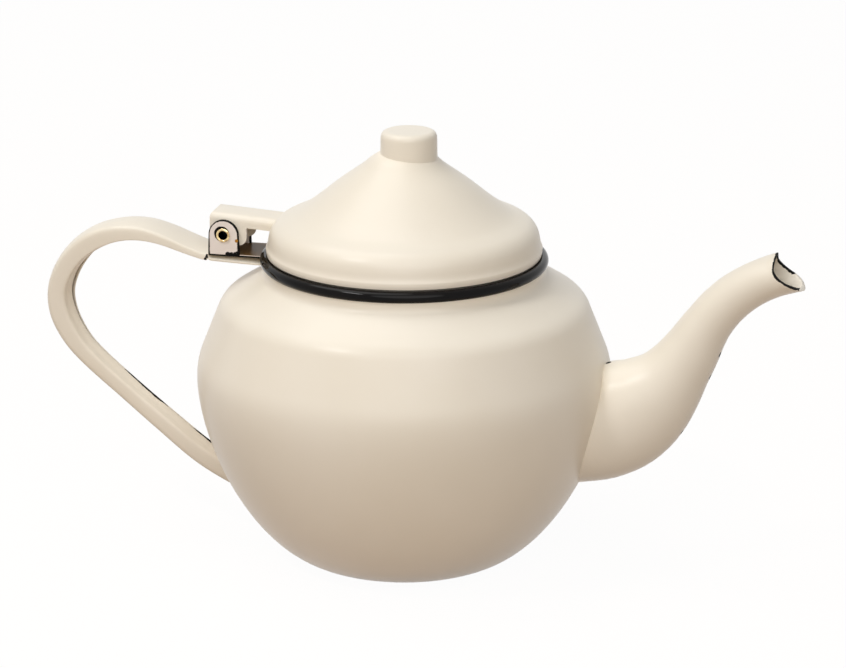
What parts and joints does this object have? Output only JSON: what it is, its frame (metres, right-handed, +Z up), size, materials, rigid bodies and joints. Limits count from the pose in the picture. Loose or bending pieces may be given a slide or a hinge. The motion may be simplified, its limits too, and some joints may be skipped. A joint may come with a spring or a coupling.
{
  "type": "enamel tea kettle",
  "caption": "Round enamelled steel tea kettle with a gooseneck spout, a hollow strap handle and a domed lid that swings up on a rear hinge.",
  "frame": {"origin": "centre of the flat base, on the surface the kettle stands on", "axes": "+Z up along the axis of the bowl and mouth, +X towards the spout, -X towards the handle and hinge, Y along the hinge pin"},
  "size_m": [0.2781, 0.1496, 0.1577],
  "materials": {
    "cream_enamel": "glossy fired enamel",
    "black_enamel": "glossy fired enamel",
    "brass": "worn"
  },
  "bodies": {
    "pot": {"body_bowl": "cream_enamel", "body_shoulder": "cream_enamel", "mouth_bead": "black_enamel", "spout_near_half": "cream_enamel", "spout_far_half": "cream_enamel", "handle_strap": "cream_enamel", "hinge_bracket": "cream_enamel", "hinge_pin": "brass"},
    "lid": {"lid_shell": "cream_enamel", "lid_knob": "cream_enamel", "hinge_arm": "cream_enamel"}
  },
  "joints": [
    {"name": "lid_hinge", "type": "hinge", "parent": "pot", "child": "lid", "pos_m": [-0.0647, 0, 0.1174], "axis": [0, -1, 0], "range_deg": [0, 100]}
  ]
}
